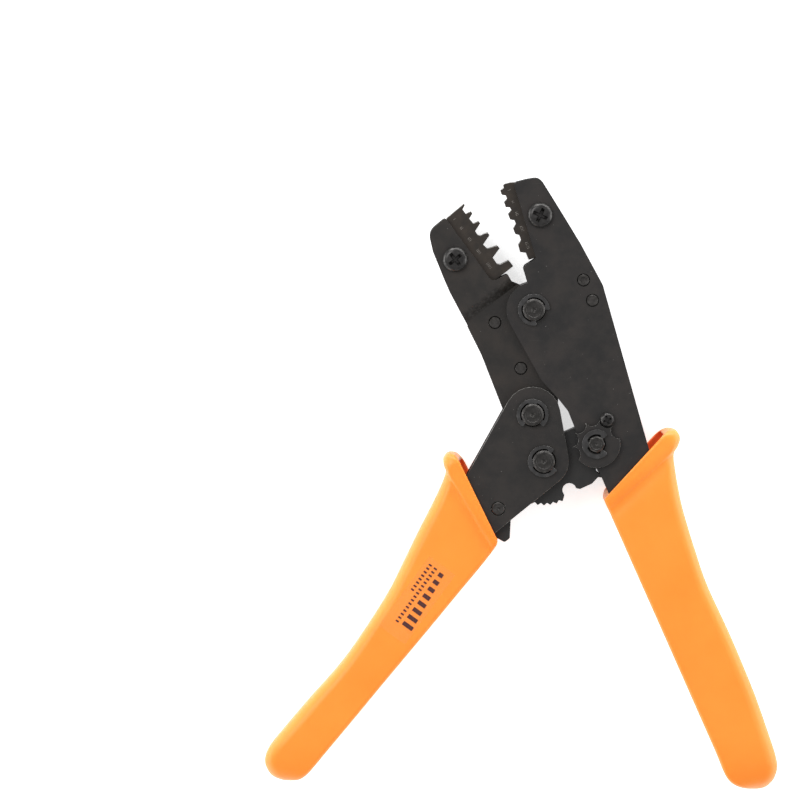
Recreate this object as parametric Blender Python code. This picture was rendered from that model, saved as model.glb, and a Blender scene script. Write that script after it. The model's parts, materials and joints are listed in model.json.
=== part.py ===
"""Ratchet crimping tool for wire ferrules, lying on its back with its jaws towards +Y.

All outlines are in millimetres about the main pivot: +X to the right, +Y towards the jaws and +Z up to
the front face. The whole tool hangs on one empty, which is moved at the end so that the lowest point is
on Z = 0 and the box round the tool is centred on the origin.
"""
import math

import bpy
import bmesh
from mathutils import Vector
from mathutils.geometry import tessellate_polygon

MM = 0.001

# Pivots of the four-bar toggle linkage
MAIN_PIVOT = (0.0, 0.0)
KNUCKLE = (-0.35, -30.45)
TOGGLE = (2.9, -43.98)
ADJUSTER = (18.15, -38.92)
PAWL_PIVOT = (-10.32, -57.74)

# The link turns on the eccentric middle of the adjuster pin
ECCENTRICITY = 0.4
LINK_AXIS = (ADJUSTER[0] - 0.315 * ECCENTRICITY, ADJUSTER[1] + 0.949 * ECCENTRICITY)

# Layers, as heights above the tool's middle plane
GAP = 0.3
CORE_Z = 1.5
INNER_Z = (1.8, 4.3)
OUTER_Z = (4.6, 7.1)
CLIP_Z = (7.4, 8.2)
HEAD_Z = (7.4, 8.9)
GRIP_Z = 8.9
JOGGLE_STEP = OUTER_Z[0] - INNER_Z[0]

# Round hardware
PIN_R = 3.2
PIN_HOLE_R = PIN_R + GAP
PIN_HEAD_R = 4.6
CLIP_GROOVE_R = 2.5
CLIP_OUTER_R = 4.6
ADJUSTER_PIN_R = 2.4
JAW_RIVETS = ((-11.25, -3.8), (-3.7, -17.1))
FRAME_RIVETS = ((14.4, 8.6), (17.0, 2.7))
RIVET_R = 1.6
PAWL_PIN_R = 1.8
DIE_SCREW_HEAD_R = 3.6
DIE_SCREW_R = 2.0
LOCK_SCREW = (21.3, -31.9)
LOCK_SCREW_HEAD_R = 2.15
LOCK_SCREW_R = 1.2
SCREW_HEAD_H = 1.9

# Dies: where the back edge starts, the way along it, the way out of it
MOVING_DIE_START = (-25.2, 26.5)
MOVING_DIE_ALONG = (0.609, -0.793)
MOVING_DIE_OUT = (0.793, 0.609)
MOVING_DIE_SCREW = (-22.8, 14.6)
FIXED_DIE_START = (-6.9, 36.8)
FIXED_DIE_ALONG = (0.314, -0.949)
FIXED_DIE_OUT = (-0.949, -0.314)
FIXED_DIE_SCREW = (1.8, 27.4)
DIE_HALF_Z = 4.3
DIE_DEPTH = 8.5

# The jaw's boss is cut back where the link's boss swings past it
JAW_BOSS_R = 5.4

# Ratchet
TOOTH_TIP_R = 12.93
TOOTH_DEPTH = 0.6
TOOTH_PITCH = 8.2
TOOTH_COUNT = 8
FIRST_TOOTH = -64.8
LINK_BOSS_R = 5.2

# Springs
RETURN_SPRING_ANCHOR = (36.3, -70.4)
LINK_SPRING_PIN = (19.6, -46.3)
RETURN_SPRING_R = 2.1
RETURN_SPRING_WIRE_R = 0.4
PAWL_SPRING_ANCHOR = (-22.4, -66.3)
PAWL_SPRING_EAR = (-15.2, -61.2)
PAWL_SPRING_R = 1.3
PAWL_SPRING_WIRE_R = 0.25
SPRING_PIN_R = 1.2
EAR_PIN_R = 0.7


def clear_scene():
    for item in list(bpy.data.objects):
        bpy.data.objects.remove(item, do_unlink=True)


def finish(name, colour, roughness, metallic):
    """Principled material of one plain colour."""
    material = bpy.data.materials.new(name)
    material.use_nodes = True
    shader = material.node_tree.nodes["Principled BSDF"]
    shader.inputs["Base Color"].default_value = (*colour, 1.0)
    shader.inputs["Roughness"].default_value = roughness
    shader.inputs["Metallic"].default_value = metallic
    return material


clear_scene()
TOOL = bpy.data.objects.new("tool", None)
bpy.context.scene.collection.objects.link(TOOL)

BLACK_STEEL = finish("black_oxide_steel", (0.045, 0.041, 0.039), 0.45, 0.8)
DIE_STEEL = finish("die_steel", (0.055, 0.046, 0.040), 0.4, 0.8)
PIN_STEEL = finish("pin_steel", (0.07, 0.068, 0.066), 0.35, 0.9)
CLIP_STEEL = finish("clip_steel", (0.05, 0.05, 0.052), 0.3, 0.9)
SPRING_STEEL = finish("spring_steel", (0.35, 0.35, 0.36), 0.3, 1.0)
ORANGE_GRIP = finish("orange_grip", (1.0, 0.34, 0.045), 0.4, 0.0)


# ---------------------------------------------------------------- outlines


def arc(centre, radius, start, end, steps):
    """Points on a circle from start to end, in degrees."""
    points = []
    for i in range(steps + 1):
        angle = math.radians(start + (end - start) * i / steps)
        points.append((centre[0] + radius * math.cos(angle), centre[1] + radius * math.sin(angle)))
    return points


def circle(centre, radius, steps=24):
    return arc(centre, radius, 0.0, 360.0, steps)[:-1]


def rounded(corners, step=18.0):
    """Closed outline from corners (x, y) or (x, y, largest radius), the latter turned into arcs."""
    outline = []
    count = len(corners)
    for i, corner in enumerate(corners):
        here = Vector(corner[:2])
        if len(corner) == 2:
            outline.append(tuple(here))
            continue
        back = Vector(corners[i - 1][:2]) - here
        ahead = Vector(corners[(i + 1) % count][:2]) - here
        half = back.angle(ahead) / 2
        reach = min(corner[2] / math.tan(half), 0.45 * back.length, 0.45 * ahead.length)
        radius = reach * math.tan(half)
        back.normalize()
        ahead.normalize()
        centre = here + (back + ahead).normalized() * radius / math.sin(half)
        first = here + back * reach - centre
        last = here + ahead * reach - centre
        start = math.degrees(math.atan2(first.y, first.x))
        turn = math.degrees(math.atan2(first.x * last.y - first.y * last.x, first.dot(last)))
        outline += arc(centre, radius, start, start + turn, max(1, round(abs(turn) / step)))
    return outline


def through(points, steps):
    """Smooth open curve through the points (Catmull-Rom)."""
    curve = []
    padded = [points[0], *points, points[-1]]
    for i in range(len(points) - 1):
        p0, p1, p2, p3 = (Vector(p) for p in padded[i:i + 4])
        for j in range(steps):
            t = j / steps
            place = 0.5 * (2 * p1 + (p2 - p0) * t + (2 * p0 - 5 * p1 + 4 * p2 - p3) * t ** 2
                           + (3 * p1 - p0 - 3 * p2 + p3) * t ** 3)
            curve.append(tuple(place))
    curve.append(tuple(points[-1]))
    return curve


def on_die(start, along, out, place):
    """Point on a die, from its distance along and out of the back edge."""
    return (start[0] + along[0] * place[0] + out[0] * place[1],
            start[1] + along[1] * place[0] + out[1] * place[1])


# ---------------------------------------------------------------- solids


def add_object(name, vertices, faces, material):
    """Object from vertices in millimetres, its faces turned outwards."""
    mesh = bpy.data.meshes.new(name)
    mesh.from_pydata([Vector(v) * MM for v in vertices], [], faces)
    build = bmesh.new()
    build.from_mesh(mesh)
    bmesh.ops.recalc_face_normals(build, faces=build.faces)
    build.to_mesh(mesh)
    build.free()
    mesh.materials.append(material)
    mesh.shade_smooth()
    mesh.set_sharp_from_angle(angle=math.radians(35))
    item = bpy.data.objects.new(name, mesh)
    item.parent = TOOL
    bpy.context.scene.collection.objects.link(item)
    return item


def plate(name, outline, holes, low, high, material):
    """Flat piece between two heights, with holes through it."""
    loops = [outline, *holes]
    flat = [point for loop in loops for point in loop]
    count = len(flat)
    vertices = [(x, y, z) for z in (low, high) for x, y in flat]
    triangles = tessellate_polygon([[Vector((x, y, 0)) for x, y in loop] for loop in loops])
    faces = [tuple(triangle) for triangle in triangles]
    faces += [tuple(count + i for i in reversed(triangle)) for triangle in triangles]
    start = 0
    for loop in loops:
        for i in range(len(loop)):
            a = start + i
            b = start + (i + 1) % len(loop)
            faces.append((a, b, count + b, count + a))
        start += len(loop)
    return add_object(name, vertices, faces, material)


def turned(name, profile, centre, material, steps=24):
    """Solid of rings (radius, height) or (radius, height, sideways shift), capped at both ends."""
    vertices = []
    for ring in profile:
        shift = ring[2] if len(ring) == 3 else (0.0, 0.0)
        middle = (centre[0] + shift[0], centre[1] + shift[1])
        vertices += [(x, y, ring[1]) for x, y in circle(middle, ring[0], steps)]
    faces = [tuple(range(steps)), tuple(range(len(vertices) - steps, len(vertices)))]
    for level in range(len(profile) - 1):
        for i in range(steps):
            a = level * steps + i
            b = level * steps + (i + 1) % steps
            faces.append((a, b, b + steps, a + steps))
    return add_object(name, vertices, faces, material)


def cut(item, cutter):
    """Boolean difference that stays on the item."""
    cutter.hide_render = True
    cutter.display_type = "WIRE"
    tool = item.modifiers.new("cut_" + cutter.name, "BOOLEAN")
    tool.operation = "DIFFERENCE"
    tool.solver = "EXACT"
    tool.object = cutter


def round_edges(item, width, segments):
    bevel = item.modifiers.new("rounded_edges", "BEVEL")
    bevel.width = width * MM
    bevel.segments = segments
    bevel.limit_method = "ANGLE"
    bevel.angle_limit = math.radians(50)


def cross_recess(item, centre, arm, top, depth, turn):
    """Cross-shaped driver recess in a screw head."""
    width = arm * 0.3
    corners = []
    for quarter in range(4):
        angle = math.radians(turn + 90 * quarter)
        for forward, side in ((width / 2, -width / 2), (arm, -width / 2), (arm, width / 2)):
            corners.append((centre[0] + forward * math.cos(angle) - side * math.sin(angle),
                            centre[1] + forward * math.sin(angle) + side * math.cos(angle)))
    cutter = plate(item.name + "_recess", corners, [], top - depth, top + 1.0, PIN_STEEL)
    cut(item, cutter)


# ---------------------------------------------------------------- frame: two plates and what is fixed to them


def frame_plate_outline():
    return rounded([
        (1.7, 38.4, 2.4), (-2.0, 37.8, 4.0), (-5.9, 36.8, 0.8), (0.64, 14.9, 0.6), (-3.2, 12.4, 1.4),
        *arc(MAIN_PIVOT, 8.0, 103.0, 210.0, 9), (2.2, -20.4), (6.9, -25.6), (10.0, -29.5), (12.3, -35.2),
        *arc(ADJUSTER, 5.8, 175.0, 250.0, 5), (18.9, -46.8), (21.7, -53.3), (29.5, -68.0),
        (46.5, -103.0, 2.0), (50.5, -104.0, 3.0), (52.5, -98.0, 3.0), (38.5, -58.5), (20.0, 7.2, 4.0),
        (13.4, 19.4, 6.0), (8.4, 27.6)])


def build_frame():
    outline = frame_plate_outline()
    holes = [
        circle(MAIN_PIVOT, PIN_HOLE_R),
        circle(ADJUSTER, ADJUSTER_PIN_R + GAP),
        circle(FIXED_DIE_SCREW, DIE_SCREW_R + GAP),
        *(circle(rivet, RIVET_R + GAP, 16) for rivet in FRAME_RIVETS),
        circle(RETURN_SPRING_ANCHOR, SPRING_PIN_R + GAP, 12)]
    lock_hole = circle(LOCK_SCREW, LOCK_SCREW_R + GAP, 16)
    plate("frame_plate_front", outline, [*holes, lock_hole], *OUTER_Z, BLACK_STEEL)
    plate("frame_plate_back", outline, holes, -OUTER_Z[1], -OUTER_Z[0], BLACK_STEEL)
    spacer = rounded([
        (2.4, 14.4, 1.0), (9.0, 16.9), (13.0, 18.4, 1.0), (18.6, 7.2, 2.0), (20.2, -1.6, 1.5),
        (14.6, -3.4, 1.5), (10.6, 2.4), (8.4, 7.6), (3.6, 11.6, 1.0)])
    plate("frame_spacer_block", spacer, [circle(rivet, RIVET_R + GAP, 16) for rivet in FRAME_RIVETS],
          -INNER_Z[1], INNER_Z[1], BLACK_STEEL)
    tang_core = rounded([
        (35.0, -77.0, 1.5), (41.8, -74.4, 1.5), (50.0, -97.6, 1.5), (48.4, -101.4, 1.5), (46.4, -100.4, 1.5)])
    plate("frame_tang_core", tang_core, [], -INNER_Z[1], INNER_Z[1], BLACK_STEEL)
    build_rivets("frame", FRAME_RIVETS, OUTER_Z[1] + 0.2)


def build_rivets(owner, places, reach):
    """Plain rivets through a stack of plates, one for each place from the jaws down."""
    for name, place in zip(("upper", "lower"), places):
        turned(f"{owner}_rivet_{name}", [
            (RIVET_R - 0.2, -reach), (RIVET_R, -reach + 0.2), (RIVET_R, reach - 0.2),
            (RIVET_R - 0.2, reach)], place, PIN_STEEL, 16)


def build_pin(name, centre, top):
    """Headed pin that is entered from the back and has a clip groove at its front end."""
    clip_low, clip_high = CLIP_Z
    turned(name, [
        (PIN_HEAD_R - 0.4, -HEAD_Z[1]), (PIN_HEAD_R, -HEAD_Z[1] + 0.4), (PIN_HEAD_R, -HEAD_Z[0]),
        (PIN_R, -HEAD_Z[0]), (PIN_R, clip_low - GAP), (CLIP_GROOVE_R, clip_low - GAP),
        (CLIP_GROOVE_R, clip_high + GAP), (PIN_R, clip_high + GAP), (PIN_R, top - 0.5),
        (PIN_R - 0.5, top)], centre, PIN_STEEL)


def e_clip(name, centre, inner_r, outer_r, low, high, opening):
    """Retaining clip: a ring with a mouth, held by three lugs on the groove."""
    mouth = 38.0
    lug = 16.0
    relief_r = inner_r + 0.75
    outline = arc(centre, outer_r, opening + mouth, opening + 360.0 - mouth, 18)
    outline += arc(centre, inner_r, opening + 360.0 - mouth, opening + 360.0 - mouth - lug, 2)
    outline += arc(centre, relief_r, opening + 360.0 - mouth - 1.4 * lug, opening + 180.0 + lug, 5)
    outline += arc(centre, inner_r, opening + 180.0 + lug * 0.7, opening + 180.0 - lug * 0.7, 2)
    outline += arc(centre, relief_r, opening + 180.0 - lug, opening + mouth + 1.4 * lug, 5)
    outline += arc(centre, inner_r, opening + mouth + lug, opening + mouth, 2)
    plate(name, outline, [], low, high, CLIP_STEEL)


def build_screw(name, centre, head_r, shank_r, top, shank_end, recess_turn):
    """Pan-head screw with a cross recess."""
    low = top - SCREW_HEAD_H
    item = turned(name, [
        (shank_r, shank_end), (shank_r, low), (head_r, low), (head_r, low + 0.9), (head_r * 0.9, low + 1.5),
        (head_r * 0.68, top)], centre, PIN_STEEL)
    cross_recess(item, centre, head_r * 0.62, top, 1.1, recess_turn)


def build_adjuster():
    """Eccentric pin, its star wheel and the screw that locks the wheel."""
    notch_at = math.dist(ADJUSTER, LOCK_SCREW)
    notch_r = LOCK_SCREW_HEAD_R + GAP
    wheel_r = 6.9
    lock_angle = math.degrees(math.atan2(LOCK_SCREW[1] - ADJUSTER[1], LOCK_SCREW[0] - ADJUSTER[0]))
    pitch = 34.5
    wheel_low = OUTER_Z[1] + GAP
    wheel_high = wheel_low + 1.5
    half = math.degrees(math.acos((wheel_r ** 2 + notch_at ** 2 - notch_r ** 2) / (2 * wheel_r * notch_at)))
    outline = []
    notches = [lock_angle + pitch * i for i in range(-1, 5)]
    for i, angle in enumerate(notches):
        middle = (ADJUSTER[0] + notch_at * math.cos(math.radians(angle)),
                  ADJUSTER[1] + notch_at * math.sin(math.radians(angle)))
        edge = Vector((ADJUSTER[0] + wheel_r * math.cos(math.radians(angle - half)),
                       ADJUSTER[1] + wheel_r * math.sin(math.radians(angle - half)))) - Vector(middle)
        start = math.degrees(math.atan2(edge.y, edge.x))
        sweep = 2 * ((start - angle) % 360.0 - 180.0)
        outline += arc(middle, notch_r, start, start - sweep, 6)
        following = notches[i + 1] if i + 1 < len(notches) else notches[0] + 360.0
        steps = 1 if i + 1 < len(notches) else 14
        outline += arc(ADJUSTER, wheel_r, angle + half, following - half, steps)[1:-1]
    plate("adjuster_wheel", outline, [circle(ADJUSTER, ADJUSTER_PIN_R + GAP)],
          wheel_low, wheel_high, BLACK_STEEL)
    clip_low = wheel_high + GAP
    clip_high = clip_low + 0.7
    top = clip_high + 1.3
    shift = (LINK_AXIS[0] - ADJUSTER[0], LINK_AXIS[1] - ADJUSTER[1])
    middle_z = INNER_Z[1] + 0.15
    groove_r = 1.8
    turned("adjuster_pin", [
        (3.6, -HEAD_Z[1]), (4.0, -HEAD_Z[1] + 0.4), (4.0, -HEAD_Z[0]), (ADJUSTER_PIN_R, -HEAD_Z[0]),
        (ADJUSTER_PIN_R, -middle_z), (PIN_R, -middle_z, shift), (PIN_R, middle_z, shift),
        (ADJUSTER_PIN_R, middle_z), (ADJUSTER_PIN_R, clip_low - GAP), (groove_r, clip_low - GAP),
        (groove_r, clip_high + GAP), (ADJUSTER_PIN_R, clip_high + GAP), (ADJUSTER_PIN_R, top - 0.4),
        (ADJUSTER_PIN_R - 0.4, top)], ADJUSTER, PIN_STEEL)
    e_clip("adjuster_clip", ADJUSTER, groove_r + GAP, 4.2, clip_low, clip_high, 0.0)
    build_screw("adjuster_lock_screw", LOCK_SCREW, LOCK_SCREW_HEAD_R, LOCK_SCREW_R,
                OUTER_Z[1] + GAP + SCREW_HEAD_H, OUTER_Z[0] + 0.2, 20.0)


# ---------------------------------------------------------------- moving jaw: joggled plates round a core


def jaw_holes():
    return [circle(MAIN_PIVOT, PIN_HOLE_R), circle(KNUCKLE, PIN_HOLE_R),
            *(circle(rivet, RIVET_R + GAP, 16) for rivet in JAW_RIVETS)]


def neck_side():
    """Right-hand side of the neck, from the knuckle up to the main pivot, hollowed for the link's boss."""
    boss = arc(KNUCKLE, 7.5, -160.0, -110.0, 4) + arc(KNUCKLE, JAW_BOSS_R, -80.0, -22.0, 5)
    return [*boss, (KNUCKLE[0] + 7.4, KNUCKLE[1] + 2.2), *arc(MAIN_PIVOT, 7.9, -8.0, 118.0, 10)]


def joggle(item, side):
    """Bend the die end of a jaw plate outwards, across the line of the die's end."""
    start = Vector((*MOVING_DIE_START, 0.0))
    along = Vector((*MOVING_DIE_ALONG, 0.0))
    outer_end = 24.6
    inner_end = 27.6
    steps = 4
    build = bmesh.new()
    build.from_mesh(item.data)
    for i in range(steps + 1):
        level = outer_end + (inner_end - outer_end) * i / steps
        everything = [*build.verts, *build.edges, *build.faces]
        bmesh.ops.bisect_plane(build, geom=everything, plane_co=(start + along * level) * MM,
                               plane_no=along, dist=1e-7)
    for vertex in build.verts:
        place = (vertex.co / MM - start).dot(along)
        share = min(1.0, max(0.0, (inner_end - place) / (inner_end - outer_end)))
        vertex.co.z += side * JOGGLE_STEP * MM * (3 - 2 * share) * share ** 2
    build.to_mesh(item.data)
    build.free()
    item.data.shade_smooth()
    item.data.set_sharp_from_angle(angle=math.radians(35))


def build_jaw():
    outer_side = through([(-29.3, 16.9), (-27.3, 12.0), (-24.3, 4.9), (-19.55, -4.0), (-15.1, -13.4)], 2)
    outline = rounded([
        *neck_side(), (-6.3, 8.0), (-7.7, 10.4, 0.8), (-12.0, 8.0, 1.6), (-25.7, 26.6, 0.8),
        (-30.6, 22.6, 3.6), *outer_side])
    holes = jaw_holes()
    screw_hole = circle(MOVING_DIE_SCREW, DIE_SCREW_R + GAP)
    for name, side in (("jaw_plate_front", 1), ("jaw_plate_back", -1)):
        low, high = sorted((side * INNER_Z[0], side * INNER_Z[1]))
        item = plate(name, outline, [*holes, screw_hole], low, high, BLACK_STEEL)
        joggle(item, side)
    core_top = [(-9.4, 3.2), (-16.4, -2.2), (-19.3, -5.0), (-15.1, -13.4)]
    plate("jaw_core", neck_side() + core_top, jaw_holes(), -CORE_Z, CORE_Z, BLACK_STEEL)
    build_rivets("jaw", JAW_RIVETS, INNER_Z[1] + 0.15)


def build_dies():
    """Two dies whose fingers pass between each other when the jaws shut."""
    moving_profile = [
        (0.0, 0.0), (-0.3, 6.4), (0.2, 6.5), (0.8, 5.15), (2.4, 5.1), (2.7, 6.7), (3.5, 6.7), (4.1, 5.05),
        (5.95, 5.1), (6.3, 6.7), (7.1, 6.75), (8.0, 4.2), (9.3, 4.1), (10.0, 4.65), (10.5, 6.8), (11.5, 6.8),
        (12.5, 3.65), (14.2, 3.9), (15.2, 6.7), (16.3, 6.8), (17.2, 3.55), (19.4, 3.45), (20.1, 4.1),
        (20.6, 6.75), (22.8, 6.8), (22.9, 1.0)]
    moving_back = [(22.6, -DIE_DEPTH + 2.6), (20.4, -DIE_DEPTH), (5.0, -DIE_DEPTH), (1.6, -4.0)]
    moving = [on_die(MOVING_DIE_START, MOVING_DIE_ALONG, MOVING_DIE_OUT, p) for p in moving_profile + moving_back]
    plate("moving_die", moving, [circle(MOVING_DIE_SCREW, DIE_SCREW_R + GAP)],
          -DIE_HALF_Z, DIE_HALF_Z, DIE_STEEL)
    fixed_profile = [
        (0.0, 0.0), (-0.1, 1.6), (0.15, 2.15), (0.95, 2.2), (1.3, 3.4), (2.6, 3.4), (3.2, 2.3), (4.25, 2.3),
        (4.85, 3.4), (6.4, 3.4), (6.8, 2.3), (7.75, 2.1), (8.55, 3.4), (10.2, 3.3), (10.8, 2.2), (11.9, 2.1),
        (13.0, 3.3), (14.7, 3.2), (15.3, 2.2), (16.9, 2.15), (17.95, 3.4), (20.1, 3.5), (20.8, 2.0),
        (23.0, 1.85)]
    fixed_back = [(23.0, -DIE_DEPTH), (4.6, -DIE_DEPTH), (1.2, -4.6)]
    fixed = [on_die(FIXED_DIE_START, FIXED_DIE_ALONG, FIXED_DIE_OUT, p) for p in fixed_profile + fixed_back]
    plate("fixed_die", fixed, [circle(FIXED_DIE_SCREW, DIE_SCREW_R + GAP)],
          -DIE_HALF_Z, DIE_HALF_Z, DIE_STEEL)
    screw_top = OUTER_Z[1] + GAP + SCREW_HEAD_H
    for name, centre, turn in (("moving_die_screw", MOVING_DIE_SCREW, 40.0),
                               ("fixed_die_screw", FIXED_DIE_SCREW, 65.0)):
        build_screw(name, centre, DIE_SCREW_HEAD_R, DIE_SCREW_R, screw_top, -OUTER_Z[1], turn)


# ---------------------------------------------------------------- moving handle


def build_handle():
    outline = rounded([
        *arc(KNUCKLE, 8.1, 10.2, 150.9, 9), (-19.3, -47.9), (-27.5, -62.5), (-37.5, -83.5),
        (-48.0, -99.5, 3.0), (-44.5, -103.0, 3.0), (-17.5, -71.5), (-12.2, -65.6, 1.0),
        *arc(TOGGLE, 7.3, -51.9, 10.2, 5)])
    holes = [circle(KNUCKLE, PIN_HOLE_R), circle(TOGGLE, PIN_HOLE_R),
             circle(PAWL_PIVOT, PAWL_PIN_R + GAP, 16),
             circle(PAWL_SPRING_ANCHOR, SPRING_PIN_R + GAP, 12)]
    plate("handle_plate_front", outline, holes, *OUTER_Z, BLACK_STEEL)
    plate("handle_plate_back", outline, holes, -OUTER_Z[1], -OUTER_Z[0], BLACK_STEEL)
    core = rounded([
        (-27.4, -68.4, 1.5), (-36.6, -85.0), (-46.0, -98.6, 1.5), (-44.2, -100.6, 1.5), (-24.4, -76.4, 1.5)])
    plate("handle_tang_core", core, [], -INNER_Z[1], INNER_Z[1], BLACK_STEEL)
    turned("pawl_pin", [(PAWL_PIN_R - 0.3, -7.4), (PAWL_PIN_R, -7.1), (PAWL_PIN_R, 7.1),
                        (PAWL_PIN_R - 0.3, 7.4)], PAWL_PIVOT, PIN_STEEL, 16)


def pawl_outline():
    return rounded([
        (-6.3, -53.9, 0.6), (-9.4, -54.0), (-13.0, -55.4, 1.5), (-17.0, -61.2, 1.2), (-15.2, -63.4, 1.2),
        (-11.6, -62.0), (-10.9, -66.3, 0.6), (-8.4, -67.7, 0.8), (-6.9, -66.5, 0.6), (-6.6, -60.6), (-6.8, -57.2)])


def build_pawl():
    """Self-centring pawl: a nose for the teeth, a tail that shows under the handle, a forked spring ear."""
    outline = pawl_outline()
    holes = [circle(PAWL_PIVOT, PAWL_PIN_R + GAP, 16), circle(PAWL_SPRING_EAR, EAR_PIN_R + GAP, 12)]
    pawl = plate("pawl", outline, holes, -INNER_Z[1], INNER_Z[1], DIE_STEEL)
    ear = Vector(PAWL_SPRING_EAR)
    away = (Vector(PAWL_SPRING_ANCHOR) - ear).normalized()
    side = Vector((-away.y, away.x))
    fork = [tuple(ear + away * ahead + side * aside)
            for ahead, aside in ((-2.0, -3.4), (5.0, -3.4), (5.0, 3.4), (-2.0, 3.4))]
    cut(pawl, plate("pawl_fork", fork, [], -CORE_Z, CORE_Z, DIE_STEEL))
    turned("pawl_spring_pin", [(EAR_PIN_R, -4.2), (EAR_PIN_R, 4.2)], PAWL_SPRING_EAR, PIN_STEEL, 12)


# ---------------------------------------------------------------- ratchet link


def link_outline(ear):
    """Link between the toggle pin and the adjuster, with the toothed sector round the toggle pin."""
    top_normal = math.degrees(math.atan2(0.949, -0.315))
    outline = arc(TOGGLE, LINK_BOSS_R, top_normal, 212.0, 6)
    last_tooth = FIRST_TOOTH - TOOTH_PITCH * (TOOTH_COUNT - 1)
    for i in range(TOOTH_COUNT):
        tip = last_tooth + TOOTH_PITCH * i
        root_r = TOOTH_TIP_R - TOOTH_DEPTH
        outline += arc(TOGGLE, root_r, tip - 0.55 * TOOTH_PITCH, tip - 0.45 * TOOTH_PITCH, 1)
        outline += arc(TOGGLE, TOOTH_TIP_R, tip - 0.06 * TOOTH_PITCH, tip + 0.06 * TOOTH_PITCH, 1)
    outline += arc((10.4, -52.5), 2.05, -135.0, -345.0, 8)
    outline += [(13.5, -52.2)]
    if ear:
        outline += [(17.0, -50.6), *arc(LINK_SPRING_PIN, 2.6, -110.0, 20.0, 5)]
    else:
        outline += [(14.6, -47.6), *arc(LINK_AXIS, 5.2, -100.0, -20.0, 5)]
    outline += arc(LINK_AXIS, 6.3, 0.0, top_normal, 8)
    return outline


def build_link():
    """Three laminations: the middle one stops short of the spring pin, so the plates form a clevis."""
    slot_r = 4.0
    slot = arc((TOGGLE[0] + 0.5, TOGGLE[1] - 0.1), slot_r, 75.0, 250.0, 10)
    slot += arc((TOGGLE[0] + 1.9, TOGGLE[1] - 0.45), slot_r, -105.0, 70.0, 10)
    axle_hole = circle(LINK_AXIS, PIN_HOLE_R)
    pin_hole = circle(LINK_SPRING_PIN, SPRING_PIN_R + GAP, 12)
    plate("link_plate_front", link_outline(True), [slot, axle_hole, pin_hole], *INNER_Z, BLACK_STEEL)
    plate("link_plate_back", link_outline(True), [slot, axle_hole, pin_hole],
          -INNER_Z[1], -INNER_Z[0], BLACK_STEEL)
    plate("ratchet_core", link_outline(False), [slot, axle_hole], -CORE_Z, CORE_Z, DIE_STEEL)
    turned("link_spring_pin", [(SPRING_PIN_R, -4.4), (SPRING_PIN_R, 4.4)], LINK_SPRING_PIN, PIN_STEEL, 16)


# ---------------------------------------------------------------- springs


def tension_spring(name, start, end, coil_r, wire_r, turns, pin_radii, leads):
    """Close-wound coil between two pins, with a hook round each and a straight lead from hook to coil."""
    start_hook, end_hook = (radius + GAP + wire_r for radius in pin_radii)
    along = Vector((end[0] - start[0], end[1] - start[1], 0.0))
    length = along.length
    along.normalize()
    side = Vector((-along.y, along.x, 0.0))
    up = Vector((0.0, 0.0, 1.0))
    origin = Vector((*start, 0.0))
    points = []
    for i in range(7):
        angle = math.radians(200.0 - 200.0 * i / 6)
        points.append(origin + (along * math.cos(angle) + side * math.sin(angle)) * start_hook)
    first = start_hook + leads[0]
    last = length - end_hook - leads[1]
    per_turn = 10
    for i in range(turns * per_turn + 1):
        share = i / (turns * per_turn)
        angle = 2 * math.pi * i / per_turn
        reach = first + (last - first) * share
        points.append(origin + along * reach + coil_r * (side * math.cos(angle) + up * math.sin(angle)))
    finish_at = Vector((*end, 0.0))
    for i in range(7):
        angle = math.radians(180.0 - 200.0 * i / 6)
        points.append(finish_at + (along * math.cos(angle) + side * math.sin(angle)) * end_hook)
    curve = bpy.data.curves.new(name, "CURVE")
    curve.dimensions = "3D"
    curve.bevel_depth = wire_r * MM
    curve.bevel_resolution = 1
    curve.use_fill_caps = True
    spline = curve.splines.new("POLY")
    spline.points.add(len(points) - 1)
    for target, place in zip(spline.points, points):
        target.co = (*(place * MM), 1.0)
    curve.materials.append(SPRING_STEEL)
    item = bpy.data.objects.new(name, curve)
    item.parent = TOOL
    bpy.context.scene.collection.objects.link(item)


def build_springs():
    tension_spring("return_spring", LINK_SPRING_PIN, RETURN_SPRING_ANCHOR, RETURN_SPRING_R,
                   RETURN_SPRING_WIRE_R, 11, (SPRING_PIN_R, SPRING_PIN_R), (7.6, 1.2))
    tension_spring("pawl_spring", PAWL_SPRING_EAR, PAWL_SPRING_ANCHOR, PAWL_SPRING_R,
                   PAWL_SPRING_WIRE_R, 5, (EAR_PIN_R, SPRING_PIN_R), (1.2, 1.2))
    for name, centre in (("spring_anchor_pin", RETURN_SPRING_ANCHOR),
                         ("pawl_spring_anchor", PAWL_SPRING_ANCHOR)):
        turned(name, [(SPRING_PIN_R, -OUTER_Z[1]), (SPRING_PIN_R, OUTER_Z[1])], centre, PIN_STEEL, 16)


# ---------------------------------------------------------------- grips


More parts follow.
